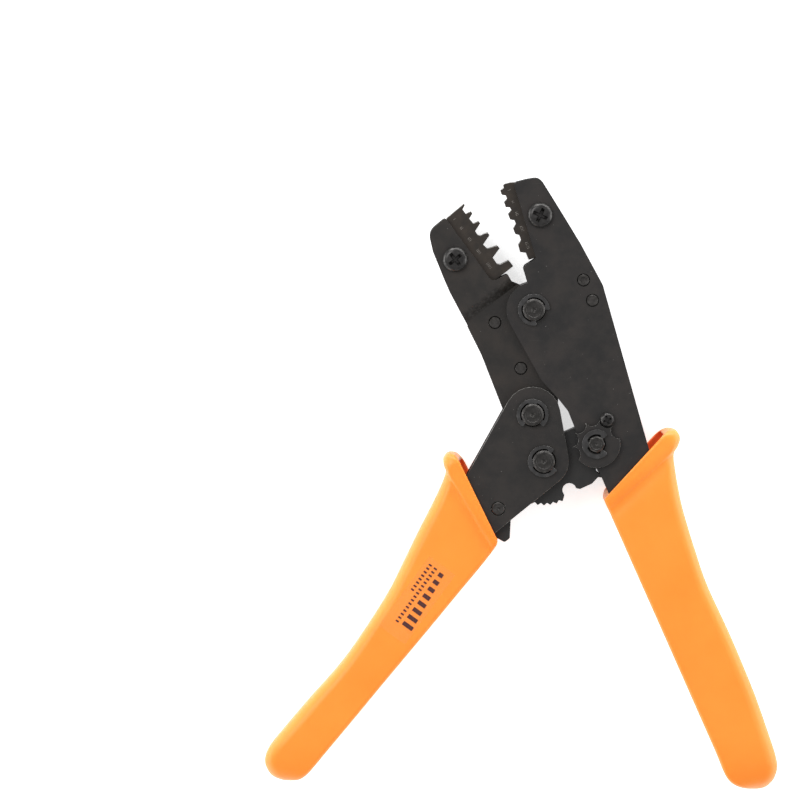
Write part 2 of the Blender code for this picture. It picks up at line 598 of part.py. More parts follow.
def build_grips():
    """Dipped orange sleeves over both tangs, each with a thumb knob at the top of its mouth."""
    edge_r = 2.2
    outer = through([(-25.3, -46.6), (-28.0, -54.0), (-33.5, -64.6), (-42.7, -83.3), (-51.0, -96.2),
                     (-57.1, -104.4), (-65.3, -113.6), (-76.0, -126.2)], 2)
    handle_outline = rounded([
        *outer, (-79.4, -131.0, 3.6), (-73.0, -137.3, 4.0), (-66.9, -136.7, 4.0), (-16.0, -75.3, 8.0),
        (-10.4, -68.0, 1.6), (-11.0, -65.7, 1.0), (-21.4, -43.1, 0.8), (-22.2, -41.4, 0.6),
        (-26.4, -41.6, 1.8)], 24.0)
    handle_grip = plate("handle_grip", handle_outline, [], -GRIP_Z, GRIP_Z, ORANGE_GRIP)
    round_edges(handle_grip, edge_r, 3)
    tang_room = rounded([
        (-14.6, -39.0), (-20.2, -47.2), (-28.1, -62.3), (-38.1, -83.3), (-49.0, -99.7, 3.0),
        (-44.6, -104.2, 3.0), (-17.6, -72.5), (-11.2, -66.2), (-8.0, -62.0), (4.0, -50.0)])
    cavity = OUTER_Z[1] + GAP
    cut(handle_grip, plate("handle_grip_room", tang_room, [], -cavity, cavity, ORANGE_GRIP))
    pawl_room = [(-14.8, -64.0), (-13.6, -69.0), (-8.0, -71.6), (-4.0, -66.0), (-9.0, -61.0)]
    pawl_z = INNER_Z[1] + GAP
    cut(handle_grip, plate("handle_grip_pawl_room", pawl_room, [], -pawl_z, pawl_z, ORANGE_GRIP))

    outer = through([(68.1, -122.7), (63.9, -110.8), (56.8, -93.9), (50.5, -80.0), (46.9, -70.0),
                     (43.5, -58.7), (41.4, -48.9), (40.9, -42.0)], 2)
    frame_outline = rounded([
        (20.4, -54.9, 1.2), (57.4, -138.3, 3.0), (65.0, -140.4, 4.0), (72.2, -134.8, 4.5), *outer,
        (42.9, -38.2, 1.8), (40.3, -34.4, 1.5), (37.6, -36.0, 0.8)], 24.0)
    frame_grip = plate("frame_grip", frame_outline, [], -GRIP_Z, GRIP_Z, ORANGE_GRIP)
    round_edges(frame_grip, edge_r, 3)
    tang_room = rounded([
        (20.4, -52.0), (23.4, -56.6), (29.2, -68.2), (46.2, -103.9, 2.0), (51.0, -105.0, 3.0),
        (53.4, -98.0, 3.0), (40.9, -62.0), (38.7, -48.0), (38.6, -38.0, 1.0), (34.0, -34.0)])
    cut(frame_grip, plate("frame_grip_room", tang_room, [], -cavity, cavity, ORANGE_GRIP))


# ---------------------------------------------------------------- assembly


def stand_on_back():
    """Move the tool so that it lies on Z = 0 and its box is centred over the origin."""
    bpy.context.view_layer.update()
    graph = bpy.context.evaluated_depsgraph_get()
    corners = []
    for item in bpy.context.scene.objects:
        if item.type == "MESH" and not item.hide_render:
            shape = item.evaluated_get(graph)
            corners += [shape.matrix_world @ Vector(corner) for corner in shape.bound_box]
    low = [min(corner[i] for corner in corners) for i in range(3)]
    high = [max(corner[i] for corner in corners) for i in range(3)]
    TOOL.location = (-(low[0] + high[0]) / 2, -(low[1] + high[1]) / 2, -low[2])


build_frame()
build_adjuster()
build_pin("main_pivot_pin", MAIN_PIVOT, 9.4)
e_clip("main_pivot_clip", MAIN_PIVOT, CLIP_GROOVE_R + GAP, CLIP_OUTER_R, *CLIP_Z, -40.0)
build_jaw()
build_dies()
build_handle()
build_pin("knuckle_pin", KNUCKLE, 9.4)
e_clip("knuckle_clip", KNUCKLE, CLIP_GROOVE_R + GAP, CLIP_OUTER_R, *CLIP_Z, -90.0)
build_pin("toggle_pin", TOGGLE, 9.4)
e_clip("toggle_clip", TOGGLE, CLIP_GROOVE_R + GAP, CLIP_OUTER_R, *CLIP_Z, 0.0)
build_pawl()
build_link()
build_springs()
build_grips()
stand_on_back()
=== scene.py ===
import json
import math

import bmesh
import bpy
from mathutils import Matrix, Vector


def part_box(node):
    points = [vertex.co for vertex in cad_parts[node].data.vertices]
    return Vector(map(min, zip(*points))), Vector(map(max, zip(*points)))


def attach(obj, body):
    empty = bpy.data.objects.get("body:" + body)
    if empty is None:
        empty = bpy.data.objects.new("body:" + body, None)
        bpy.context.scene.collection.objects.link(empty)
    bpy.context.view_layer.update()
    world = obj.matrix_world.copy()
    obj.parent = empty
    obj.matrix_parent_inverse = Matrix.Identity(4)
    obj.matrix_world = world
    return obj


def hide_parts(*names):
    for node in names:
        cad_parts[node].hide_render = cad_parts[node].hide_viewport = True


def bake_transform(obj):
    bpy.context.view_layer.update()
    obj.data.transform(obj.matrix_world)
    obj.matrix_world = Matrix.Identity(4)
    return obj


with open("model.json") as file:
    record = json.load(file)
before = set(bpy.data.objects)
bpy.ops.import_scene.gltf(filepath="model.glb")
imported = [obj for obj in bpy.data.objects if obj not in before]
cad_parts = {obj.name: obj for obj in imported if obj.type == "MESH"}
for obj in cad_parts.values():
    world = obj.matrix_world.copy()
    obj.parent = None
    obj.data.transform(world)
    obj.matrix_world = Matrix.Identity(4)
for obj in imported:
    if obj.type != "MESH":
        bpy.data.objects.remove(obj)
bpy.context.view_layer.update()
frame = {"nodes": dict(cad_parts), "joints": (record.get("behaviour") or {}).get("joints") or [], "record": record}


# Punched plates
#
# The frame, the jaw, the handle and the ratchet link are stacks of 2.5 mm mild steel plates. They are
# fine-blanked, tumbled so that the edges turn over a little, and blackened in a hot oxide bath, which
# leaves a brown-black satin skin that rubs through to bare steel on the edges.

MM = 0.001
PLATE_EDGE = 0.28
EDGE_SEGMENTS = 2
OXIDE_DARK = (0.0110, 0.0102, 0.0102)
OXIDE_BROWN = (0.0225, 0.0180, 0.0158)
BARE_STEEL = (0.42, 0.41, 0.39)

behaviour = frame["record"]["behaviour"]
body_of = {node: body for body, nodes in behaviour["bodies"].items() for node in nodes}


class Signal:
    """A socket whose arithmetic adds Math nodes to the material."""

    def __init__(self, finish, socket):
        self.finish = finish
        self.socket = socket

    def math(self, operation, *values):
        return self.finish.node("Math", {"operation": operation}, dict(enumerate(values)))

    def __add__(self, other):
        return self.math("ADD", self, other)

    def __sub__(self, other):
        return self.math("SUBTRACT", self, other)

    def __rsub__(self, other):
        return self.math("SUBTRACT", other, self)

    def __mul__(self, other):
        return self.math("MULTIPLY", self, other)

    def __abs__(self):
        return self.math("ABSOLUTE", self)

    def between(self, low, high):
        """0 below low, 1 above high and a smooth rise in the middle."""
        return self.finish.node("MapRange", {"interpolation_type": "SMOOTHSTEP"},
                                {"Value": self, "From Min": low, "From Max": high})


class Finish:
    """A material: its shader's own values, and one method that makes every other node."""

    def __init__(self, name, **values):
        self.material = bpy.data.materials.new(name)
        self.material.use_nodes = True
        self.tree = self.material.node_tree
        self.shader = self.tree.nodes["Principled BSDF"]
        for socket, value in values.items():
            self.feed(self.shader.inputs[socket.replace("_", " ")], value)

    def feed(self, socket, value):
        if isinstance(value, Signal):
            self.tree.links.new(value.socket, socket)
        else:
            socket.default_value = value

    def node(self, kind, settings=None, inputs=None, output=0):
        made = self.tree.nodes.new("ShaderNode" + kind)
        for name, value in (settings or {}).items():
            setattr(made, name, value)
        for name, value in (inputs or {}).items():
            self.feed(made.inputs[name], value)
        return Signal(self, made.outputs[output])

    def place(self):
        return self.node("TexCoord", output=3)

    def noise(self, where, scale, detail, roughness=0.55):
        return self.node("TexNoise", {}, {
            "Vector": where, "Scale": scale, "Detail": detail, "Roughness": roughness})

    def mix(self, first, second, share):
        colours = [colour if isinstance(colour, Signal) else (*colour, 1.0) for colour in (first, second)]
        return self.node("Mix", {"data_type": "RGBA"}, {0: share, 6: colours[0], 7: colours[1]}, 2)

    def scratches(self, where, angle, spacing, rarity):
        """Fine straight rub marks along one direction."""
        along = self.node("Mapping", {}, {
            "Vector": where, "Rotation": (0.0, 0.0, angle), "Scale": (60.0, spacing, 60.0)})
        return self.noise(along, 1.0, 2.0, 0.5).between(rarity, rarity + 0.07)

    def edge(self):
        """1 on surfaces that lean between flat and upright, which are the turned-over edges."""
        upward = self.node("SeparateXYZ", {}, {0: self.node("NewGeometry", output=1)}, 2)
        lean = abs(upward)
        return (lean * (1 - lean) * 4).between(0.25, 0.95)

    def bump(self, height, depth, strength, over=None):
        inputs = {"Height": height, "Distance": depth, "Strength": strength}
        if over is not None:
            inputs["Normal"] = over
        return self.node("Bump", {}, inputs)

    def surface(self, **signals):
        for socket, value in signals.items():
            self.feed(self.shader.inputs[socket.replace("_", " ")], value)
        return self.material


def black_oxide(name, dark, brown, wear, rub_angle):
    """Hot-blackened steel: patchy brown-black skin, rub marks, bare metal where the edges touch things."""
    steel = Finish(name, Specular_IOR_Level=0.5)
    place = steel.place()
    patches = steel.noise(place, 120.0, 6.0, 0.62).between(0.35, 0.68)
    stains = steel.noise(place, 420.0, 5.0, 0.7).between(0.40, 0.75)
    grain = steel.noise(place, 5200.0, 2.0, 0.6)
    rubs = steel.scratches(place, rub_angle, 3800.0, 0.665)
    cross_rubs = steel.scratches(place, rub_angle + 1.9, 2900.0, 0.70)
    broken = steel.noise(place, 900.0, 4.0, 0.7).between(0.42, 0.66)
    worn = steel.edge() * (broken * 0.7 + 0.3) * wear
    marks = (rubs + cross_rubs) * patches * 0.30
    dust = steel.noise(place, 1900.0, 1.0, 0.3).between(0.80, 0.84) * 0.6
    skin = steel.mix(dark, brown, patches * 0.75 + stains * 0.25)
    skin = steel.mix(skin, (0.055, 0.052, 0.050), marks)
    skin = steel.mix(skin, (0.20, 0.19, 0.18), dust)
    roughness = patches * 0.12 + stains * 0.08 + grain * 0.08 + 0.36 - worn * 0.12
    return steel.surface(
        Base_Color=steel.mix(skin, BARE_STEEL, worn),
        Metallic=worn * 0.6 + 0.35,
        Roughness=roughness,
        Normal=steel.bump(grain + marks * -0.8, 0.00004, 0.5))


def own(piece, node):
    """The piece moves with its CAD node's body and stands for it."""
    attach(piece, body_of[node])
    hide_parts(node)
    return piece


def add_piece(name, build, material, sharp=35.0):
    """Object from a bmesh, shaded smooth up to an angle."""
    mesh = bpy.data.meshes.new(name)
    bmesh.ops.recalc_face_normals(build, faces=build.faces)
    build.to_mesh(mesh)
    build.free()
    mesh.materials.append(material)
    mesh.shade_smooth()
    mesh.set_sharp_from_angle(angle=math.radians(sharp))
    piece = bpy.data.objects.new(name, mesh)
    bpy.context.scene.collection.objects.link(piece)
    return piece


def turn_edges(piece, width):
    """Rounds the sharp edges and keeps the flat faces flat."""
    bevel = piece.modifiers.new("turned_edges", "BEVEL")
    bevel.width = width * MM
    bevel.segments = EDGE_SEGMENTS
    bevel.limit_method = "ANGLE"
    bevel.angle_limit = math.radians(30)
    even = piece.modifiers.new("flat_faces", "WEIGHTED_NORMAL")
    even.keep_sharp = True


def fine(node, material, edge):
    """Finer piece on a CAD node's own outline."""
    build = bmesh.new()
    build.from_mesh(frame["nodes"][node].data)
    bmesh.ops.remove_doubles(build, verts=build.verts, dist=1e-6)
    bmesh.ops.dissolve_limit(build, angle_limit=math.radians(0.4), verts=build.verts, edges=build.edges)
    piece = add_piece("fine_" + node, build, material)
    turn_edges(piece, edge)
    return own(piece, node)


frame_steel = black_oxide("frame_black_oxide", OXIDE_DARK, OXIDE_BROWN, 0.9, 0.35)
jaw_steel = black_oxide("jaw_black_oxide", (0.0125, 0.0110, 0.0100), (0.0250, 0.0190, 0.0155), 0.12, -0.9)
handle_steel = black_oxide(
    "handle_black_oxide", (0.0120, 0.0108, 0.0104), (0.0230, 0.0185, 0.0160), 0.5, 1.1)

for node in ("frame_plate_front", "frame_plate_back", "frame_spacer_block", "frame_tang_core"):
    fine(node, frame_steel, PLATE_EDGE)
for node in ("jaw_plate_front", "jaw_plate_back", "jaw_core"):
    fine(node, jaw_steel, PLATE_EDGE)
for node in ("handle_plate_front", "handle_plate_back", "handle_tang_core"):
    fine(node, handle_steel, PLATE_EDGE)


# Ratchet link and pawl
#
# The link is three laminations riding on the adjuster pin, with saw teeth blanked round the toggle pin.
# The pawl is a thicker hardened piece with a forked ear for its spring. Both are case-hardened before
# blackening, so they look greyer, and the tooth tips are rubbed bright by the pawl.

LAMINATION_EDGE = 0.12
PAWL_EDGE = 0.3

ratchet_steel = black_oxide(
    "ratchet_black_oxide", (0.0155, 0.0150, 0.0148), (0.0240, 0.0215, 0.0200), 0.6, 0.2)
for node in ("link_plate_front", "link_plate_back", "ratchet_core"):
    fine(node, ratchet_steel, LAMINATION_EDGE)
fine("pawl", ratchet_steel, PAWL_EDGE)


# Dies
#
# Two hardened blocks held between the plates by one screw each. Their fingers pass between each other
# and press the ferrule into a trapezoid. They are wire-cut, so the working faces keep fine parallel
# lines, and ticks are stamped beside each nest, more of them for a larger ferrule.

DIE_EDGE = 0.14
DIE_FACE = 4.30
TICK_LENGTH = 0.85
TICK_WIDTH = 0.16
TICK_LIFT = 0.03
TICK_INSET = 0.04
TICK_SPACING = 0.42
DIE_DARK = (0.0190, 0.0158, 0.0135)
DIE_BROWN = (0.0420, 0.0320, 0.0245)
pivot = sum(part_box("main_pivot_pin"), Vector()) / 2
plate_boxes = [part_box(name) for name in ("frame_plate_front", "frame_plate_back")]
middle_z = sum(corner.z for box in plate_boxes for corner in box) / 4


def at(x, y, z=0.0):
    """Millimetres from the main pivot and the middle plane, as a place in the frame."""
    return Vector((pivot.x + x * MM, pivot.y + y * MM, middle_z + z * MM))


def wire_cut():
    """Die steel with cutting lines that run through its thickness and a brown heat tint."""
    steel = Finish("die_wire_cut", Specular_IOR_Level=0.5)
    place = steel.place()
    tint = steel.noise(place, 260.0, 5.0, 0.6).between(0.3, 0.7)
    layers = steel.node("Mapping", {}, {"Vector": place, "Scale": (2600.0, 2600.0, 90.0)})
    lines = steel.noise(layers, 1.0, 2.0, 0.5)
    worn = steel.edge() * steel.noise(place, 700.0, 3.0, 0.6).between(0.35, 0.6) * 0.75
    skin = steel.mix(DIE_DARK, DIE_BROWN, tint * 0.7 + lines * 0.3)
    return steel.surface(
        Base_Color=steel.mix(skin, BARE_STEEL, worn),
        Metallic=worn * 0.5 + 0.45,
        Roughness=lines * 0.16 + 0.30,
        Normal=steel.bump(lines, 0.00003, 0.6))


die_steel = wire_cut()
for node in ("moving_die", "fixed_die"):
    fine(node, die_steel, DIE_EDGE)


def close_block(build, corners):
    """Six faces on the four lower and the four upper corners of a block."""
    build.faces.new(corners[4:])
    build.faces.new(reversed(corners[:4]))
    for i in range(4):
        j = (i + 1) % 4
        build.faces.new((corners[i], corners[j], corners[4 + j], corners[4 + i]))


def size_ticks(name, start, along, out, places, body):
    """Groups of ticks stamped on the front of a die, one tick more for each larger nest."""
    along = Vector((*along, 0.0))
    out = Vector((*out, 0.0))
    build = bmesh.new()
    for number, (reach, depth) in enumerate(places):
        for tick in range(number + 1):
            step = TICK_SPACING * (tick - number / 2)
            middle = Vector((*start, DIE_FACE)) + along * (reach + step) + out * depth
            corners = []
            for height, inset in ((0.0, 0.0), (TICK_LIFT, TICK_INSET)):
                for a, b in ((-1, -1), (1, -1), (1, 1), (-1, 1)):
                    spot = middle + out * a * (TICK_LENGTH / 2 - inset) + along * b * (TICK_WIDTH / 2 - inset)
                    corners.append(build.verts.new(at(spot.x, spot.y, spot.z + height)))
            close_block(build, corners)
    stamp = Finish(name + "_stamp", Metallic=0.6)
    glint = stamp.noise(stamp.place(), 3000.0, 2.0).between(0.3, 0.7)
    stamp.surface(Base_Color=stamp.mix((0.05, 0.045, 0.04), (0.24, 0.22, 0.20), glint),
                  Roughness=glint * 0.2 + 0.35)
    ticks = add_piece(name, build, stamp.material)
    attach(ticks, body)


size_ticks("moving_die_ticks", (-25.2, 26.5), (0.609, -0.793), (0.793, 0.609),
           ((1.6, 1.6), (4.9, 1.6), (8.9, 1.5), (13.3, 1.4), (18.4, 1.3)), "moving_jaw")
size_ticks("fixed_die_ticks", (-6.9, 36.8), (0.314, -0.949), (-0.949, -0.314),
           ((2.0, 0.9), (5.6, 0.9), (9.2, 0.9), (13.8, 0.9), (18.9, 0.9)), "frame")


# Pins and rivets
#
# The pivot pins are turned on a lathe, entered from the back and held by clips in front, so their front
# ends show a chamfer, a groove and a small centre dimple. The rivets are cut wire, headed flush in the
# holes of the plates; the pawl's pin is dimpled by the punch that spread it.

PIN_ROUND = 48
TURNED_SHARP = 28.0
HEAD_UNDER = 7.4
RIVET_R = 1.62
RIVET_HOLE_R = 1.86


def turned_steel(name, light, dark, shine):
    """Turned and blackened steel with fine rings round its own centre."""
    steel = Finish(name, Metallic=0.75)
    place = steel.place()
    flat = steel.node("VectorMath", {"operation": "MULTIPLY"}, {0: place, 1: (1.0, 1.0, 0.0)})
    away = steel.node("VectorMath", {"operation": "LENGTH"}, {0: flat}, 1)
    rings = steel.noise(steel.node("CombineXYZ", {}, {0: away * 9000.0, 2: 0.0}), 1.0, 2.0, 0.6)
    dirt = steel.noise(place, 800.0, 4.0, 0.65).between(0.35, 0.7)
    worn = steel.edge() * dirt * 0.16
    skin = steel.mix(dark, light, rings * 0.5 + dirt * 0.5)
    return steel.surface(
        Base_Color=steel.mix(skin, BARE_STEEL, worn),
        Roughness=rings * 0.14 + dirt * 0.10 + shine,
        Normal=steel.bump(rings, 0.00002, 0.5))


def join_rings(build, rings):
    """Skin over the rings, closed at both ends: gives the side faces in order and then the two ends."""
    faces = []
    for one, two in zip(rings, rings[1:]):
        for i in range(len(one)):
            j = (i + 1) % len(one)
            faces.append(build.faces.new((one[i], one[j], two[j], two[i])))
    faces.append(build.faces.new(rings[0]))
    faces.append(build.faces.new(rings[-1]))
    return faces


def axis_place(node):
    """Where a pin's own centre line crosses the middle plane."""
    low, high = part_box(node)
    return Vector(((low.x + high.x) / 2, (low.y + high.y) / 2, middle_z))


def heights(node):
    """Millimetres from the middle plane to the node's back end and to its front end."""
    low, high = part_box(node)
    return (low.z - middle_z) / MM, (high.z - middle_z) / MM


def lathe(name, profile, material, rounds=PIN_ROUND):
    """Turned piece about its own centre, from rings of radius and height.

    A ring may add a number of flats and a sideways shift.
    """
    build = bmesh.new()
    rings = []
    for radius, height, *extra in profile:
        flats = extra[0] if extra else 0
        shift = extra[1] if len(extra) > 1 else (0.0, 0.0)
        ring = []
        for i in range(rounds):
            angle = 2 * math.pi * i / rounds
            reach = radius
            if flats:
                half = math.pi / flats
                reach *= math.cos(half) / math.cos((angle % (2 * half)) - half)
            ring.append(build.verts.new((
                (reach * math.cos(angle) + shift[0]) * MM, (reach * math.sin(angle) + shift[1]) * MM,
                height * MM)))
        rings.append(ring)
    join_rings(build, rings)
    return add_piece(name, build, material, TURNED_SHARP)


def dimple(top, radius, depth):
    """Rings that sink a centre dimple into the top face."""
    return [(radius, top), (radius * 0.72, top - depth * 0.55), (radius * 0.35, top - depth * 0.9),
            (radius * 0.05, top - depth)]


pin_steel = turned_steel("turned_pin", (0.050, 0.047, 0.045), (0.017, 0.016, 0.015), 0.30)
rivet_steel = turned_steel("headed_rivet", (0.062, 0.058, 0.055), (0.020, 0.018, 0.017), 0.30)

for name in ("main_pivot", "knuckle", "toggle"):
    node = name + "_pin"
    back, top = heights(node)
    pin = lathe("fine_" + node, [
        (3.9, back), (4.4, back + 0.15), (4.6, back + 0.45),
        (4.6, -HEAD_UNDER - 0.2), (4.45, -HEAD_UNDER), (3.2, -HEAD_UNDER),
        (3.2, 7.0), (3.1, 7.1), (2.5, 7.1), (2.5, 8.5), (3.05, 8.5), (3.2, 8.6), (3.2, top - 0.45),
        (3.1, top - 0.2, 8), (2.75, top, 8), (2.2, top), (2.1, top - 0.08), (1.0, top - 0.08),
        *dimple(top - 0.08, 0.75, 0.35)], pin_steel)
    pin.location = axis_place(node)
    own(pin, node)

pawl_pin = lathe("fine_pawl_pin", [
    (1.8, -7.4), (2.03, -7.15), (2.03, -4.6), (1.8, -4.5), (1.8, 4.5), (2.03, 4.6), (2.03, 6.6),
    (1.8, 6.7), (1.8, 7.25), (1.65, 7.4), (0.6, 7.4), *dimple(7.4, 0.45, 0.3)],
    rivet_steel)
pawl_pin.location = axis_place("pawl_pin")
own(pawl_pin, "pawl_pin")

for node, reach, ring in (("frame_rivet_upper", 7.3, 0.95), ("frame_rivet_lower", 7.3, 0.0),
                          ("jaw_rivet_upper", 4.45, 0.0), ("jaw_rivet_lower", 4.45, 0.0)):
    face = [(RIVET_HOLE_R, reach - 0.9), (RIVET_R, reach - 0.8), (RIVET_R, reach - 0.15), (1.5, reach)]
    if ring:
        face += [(ring, reach - 0.02), (ring * 0.9, reach - 0.5), (0.1, reach - 0.6)]
    rivet = lathe("fine_" + node, [(1.6, -reach), (RIVET_HOLE_R, -reach + 0.2), *face], rivet_steel)
    rivet.location = axis_place(node)
    own(rivet, node)

for node, radius, reach in (("spring_anchor_pin", 1.2, 7.1), ("pawl_spring_anchor", 1.2, 7.1),
                            ("link_spring_pin", 1.2, 4.4), ("pawl_spring_pin", 0.7, 4.2)):
    pin = lathe("fine_" + node, [
        (radius - 0.2, -reach), (radius, -reach + 0.2), (radius, reach - 0.2), (radius - 0.2, reach)],
        rivet_steel, 32)
    pin.location = axis_place(node)
    own(pin, node)


# Retaining clips
#
# E-clips stamped from 0.8 mm spring steel snap into the grooves of the pins. Three lugs bite on the
# groove and leave a dark slot between the clip and the pin; the mouth shows where it was pushed on.

CLIP_EDGE = 0.16
HALF_MOUTH = 40.0
LUG_RELIEF = 0.8


def arc_points(radius, start, end, step=5.0):
    count = max(1, round(abs(end - start) / step))
    turn = [math.radians(start + (end - start) * i / count) for i in range(count + 1)]
    return [(radius * math.cos(angle), radius * math.sin(angle)) for angle in turn]


def clip_outline(inner, outer):
    """E-clip about the origin, its mouth towards +X."""
    relief = inner + LUG_RELIEF
    tip = inner + 0.35
    half = []
    half += arc_points(outer, 180.0, HALF_MOUTH + 4.0)
    half += arc_points(outer - 0.25, HALF_MOUTH + 1.0, HALF_MOUTH, 1.0)
    half += arc_points(tip, HALF_MOUTH, HALF_MOUTH + 3.0, 1.0)
    half += arc_points(inner, HALF_MOUTH + 4.0, HALF_MOUTH + 17.0)
    half += arc_points(relief, HALF_MOUTH + 24.0, 158.0)
    half += arc_points(inner, 168.0, 180.0)
    other = [(x, -y) for x, y in reversed(half[1:-1])]
    return half + other


def flat_piece(name, outline, low, high, material):
    """Flat piece about its own centre between two heights."""
    build = bmesh.new()
    join_rings(build, [[build.verts.new((x * MM, y * MM, z * MM)) for x, y in outline] for z in (low, high)])
    return add_piece(name, build, material)


def spring_temper():
    """Blackened spring steel with a bluish sheen in places."""
    steel = Finish("clip_spring_temper", Metallic=0.85)
    place = steel.place()
    tint = steel.noise(place, 500.0, 4.0, 0.6).between(0.35, 0.7)
    fine_grain = steel.noise(place, 6000.0, 2.0)
    worn = steel.edge() * tint * 0.6
    skin = steel.mix((0.050, 0.049, 0.049), (0.078, 0.076, 0.077), tint)
    return steel.surface(
        Base_Color=steel.mix(skin, BARE_STEEL, worn), Roughness=fine_grain * 0.12 + 0.24,
        Normal=steel.bump(fine_grain, 0.00002, 0.4))


clip_steel = spring_temper()
for name, inner, outer, mouth_at in (("main_pivot", 2.8, 4.6, -40.0), ("knuckle", 2.8, 4.6, -90.0),
                                     ("toggle", 2.8, 4.6, 8.0), ("adjuster", 2.1, 4.2, 0.0)):
    node = name + "_clip"
    low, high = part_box(node)
    half_height = (high.z - low.z) / 2 / MM
    clip = flat_piece("fine_" + node, clip_outline(inner, outer), -half_height, half_height, clip_steel)
    turn_edges(clip, CLIP_EDGE)
    clip.location = axis_place(name + "_pin")
    clip.location.z = (low.z + high.z) / 2
    clip.rotation_euler.z = math.radians(mouth_at)
    own(clip, node)


# Adjuster
#
# The link hangs on the eccentric middle of this pin. Turning the notched wheel by a notch moves the link
# a little and tightens the crimp; the small cross-head screw sits in one notch and locks the wheel. The
# pin's front end has a flat that keys the wheel to it.

WHEEL_EDGE = 0.35

wheel_steel = black_oxide("wheel_black_oxide", OXIDE_DARK, OXIDE_BROWN, 1.0, 2.2)
fine("adjuster_wheel", wheel_steel, WHEEL_EDGE)
low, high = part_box("adjuster_pin")
back, top = heights("adjuster_pin")
link_hinge = next(joint for joint in frame["joints"] if joint["name"] == "link_hinge")
off_centre = tuple((link_hinge["pos_m"][i] - (low[i] + high[i]) / 2) / MM for i in range(2))
adjuster_pin = lathe("fine_adjuster_pin", [
    (3.4, back), (3.8, back + 0.15), (4.0, back + 0.4),
    (4.0, -HEAD_UNDER - 0.2), (3.85, -HEAD_UNDER), (2.4, -HEAD_UNDER), (2.4, -4.45),
    (3.2, -4.45, 0, off_centre), (3.2, 4.45, 0, off_centre), (2.4, 4.45), (2.4, 8.9), (1.8, 8.9),
    (1.8, 10.2), (2.4, 10.2, 8), (2.4, top - 0.4, 8), (2.05, top, 8), (1.5, top),
    (1.4, top - 0.08), *dimple(top - 0.08, 0.4, 0.2)], pin_steel)
adjuster_pin.location = axis_place("adjuster_pin")
own(adjuster_pin, "adjuster_pin")


# Screws
#
# One pan-head machine screw through each die and a smaller one beside the wheel, all with a cross
# recess. They are as black as the pins, and a little shinier than the plates.

CROWN_ANGLES = (0, 20, 38, 54, 68, 80)


def cross_cutter(arm, top, depth, turn):
    """Tapered cross that the driver recess is cut with."""
    build = bmesh.new()
    rings = []
    for height, share in ((top - depth, 0.55), (top + 0.6, 1.12)):
        ring = []
        for quarter in range(4):
            angle = turn + math.pi / 2 * quarter
            width = arm * 0.20 * share + 0.06
            for forward, side in ((width, -width), (arm * share, -width), (arm * share, width)):
                ring.append(build.verts.new((
                    (forward * math.cos(angle) - side * math.sin(angle)) * MM,
                    (forward * math.sin(angle) + side * math.cos(angle)) * MM, height * MM)))
        rings.append(ring)
    join_rings(build, rings)
    return add_piece("cross_cutter", build, screw_steel)


def apply_modifiers(piece):
    """Bakes the piece's modifiers into its mesh."""
    graph = bpy.context.evaluated_depsgraph_get()
    piece.data = bpy.data.meshes.new_from_object(piece.evaluated_get(graph))
    piece.modifiers.clear()


screw_steel = turned_steel("screw_steel", (0.050, 0.048, 0.047), (0.017, 0.016, 0.016), 0.22)
for node, head, shank, shank_end, turn in (("moving_die_screw", 3.6, 2.0, -7.1, 40.0),
                                           ("fixed_die_screw", 3.6, 2.0, -7.1, 65.0),
                                           ("adjuster_lock_screw", 2.15, 1.2, 4.8, 20.0)):
    top = heights(node)[1]
    rim = HEAD_UNDER + 0.55
    crown = [(math.cos(math.radians(angle)), math.sin(math.radians(angle))) for angle in CROWN_ANGLES]
    dome = [(head * 0.55 + head * 0.45 * c, rim + (top - rim) * s) for c, s in crown]
    screw = lathe("fine_" + node, [
        (shank - 0.2, shank_end), (shank, shank_end + 0.2), (shank, HEAD_UNDER), (head - 0.1, HEAD_UNDER),
        (head, HEAD_UNDER + 0.1), *dome, (head * 0.4, top), (0.05, top)], screw_steel)
    cutter = cross_cutter(head * 0.66, top, head * 0.42, math.radians(turn))
    recess = screw.modifiers.new("recess", "BOOLEAN")
    recess.operation = "DIFFERENCE"
    recess.solver = "EXACT"
    recess.object = cutter
    apply_modifiers(screw)
    screw.data.shade_smooth()
    screw.data.set_sharp_from_angle(angle=math.radians(30))
    bpy.data.objects.remove(cutter)
    screw.location = axis_place(node)
    own(screw, node)


# Springs
#
# The return spring is a tension coil of 0.8 mm wire, hooked to the link's ear and to a pin between the
# frame plates inside the grip. A thinner one in the moving grip centres the pawl. Bright drawn wire,
# oiled.

RETURN_BEND = 0.4


def drawn_wire():
    wire = Finish("bright_drawn_wire", Metallic=1.0)
    place = wire.place()
    oil = wire.noise(place, 900.0, 3.0).between(0.35, 0.7)
    draw_marks = wire.noise(place, 8000.0, 2.0)
    return wire.surface(
        Base_Color=wire.mix((0.33, 0.32, 0.31), (0.50, 0.49, 0.47), oil),
        Roughness=draw_marks * 0.15 + oil * 0.1 + 0.2, Normal=wire.bump(draw_marks, 0.00001, 0.4))


